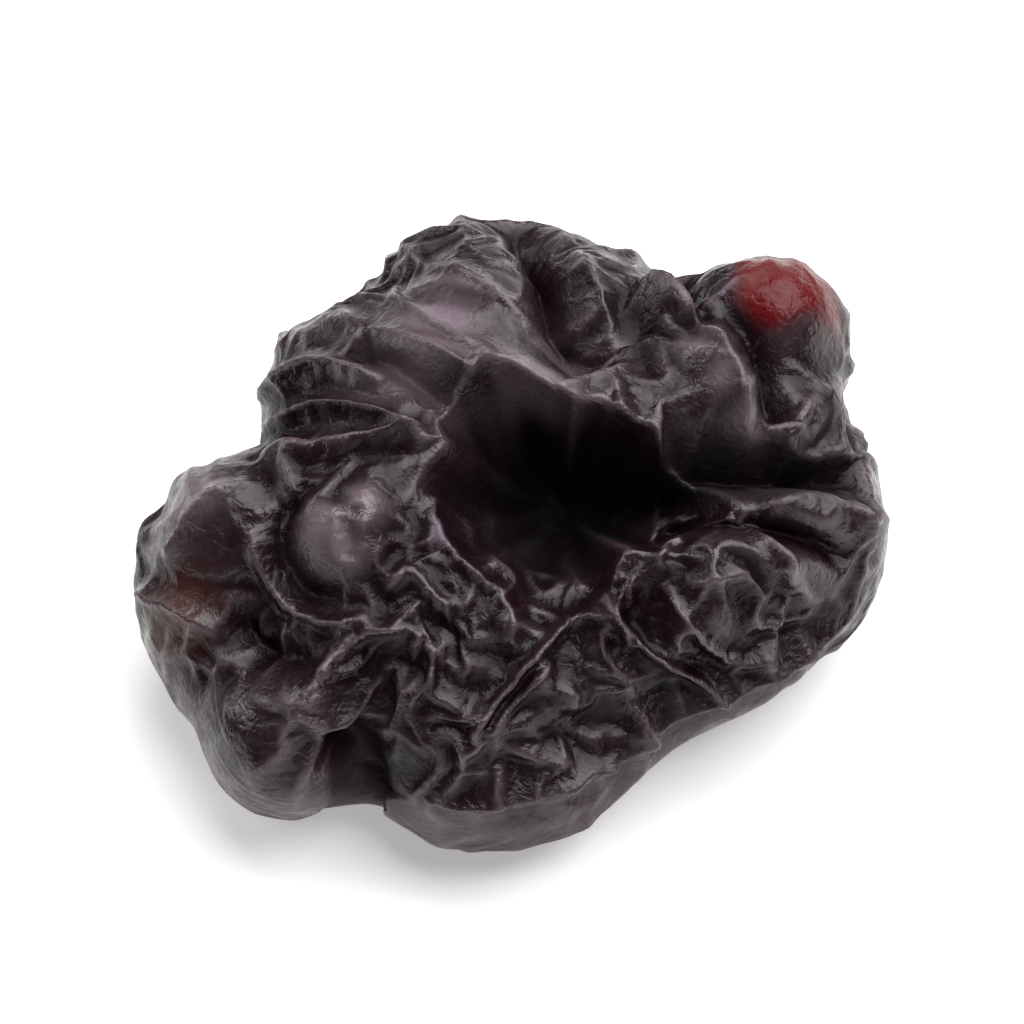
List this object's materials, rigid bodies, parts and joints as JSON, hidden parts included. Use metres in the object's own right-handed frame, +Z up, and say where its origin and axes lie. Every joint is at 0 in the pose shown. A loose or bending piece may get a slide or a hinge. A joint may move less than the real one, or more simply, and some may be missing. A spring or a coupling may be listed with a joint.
{
  "type": "dried sour cherry",
  "caption": "Dried, stoned sour cherry: a squat, lobed, deeply wrinkled dark fruit lying flat with its stem hollow facing up.",
  "frame": {"origin": "middle of the fruit's box in plan, on the surface it rests on", "axes": "+X along the fruit's longest side, +Y away from the front rim across the stem hollow, +Z up, out of the stem hollow"},
  "size_m": [0.018, 0.0158, 0.0082],
  "materials": {
    "cherry_skin": "semi-gloss, wrinkled"
  },
  "bodies": {
    "root": {"dried_sour_cherry": "cherry_skin"}
  },
  "joints": []
}
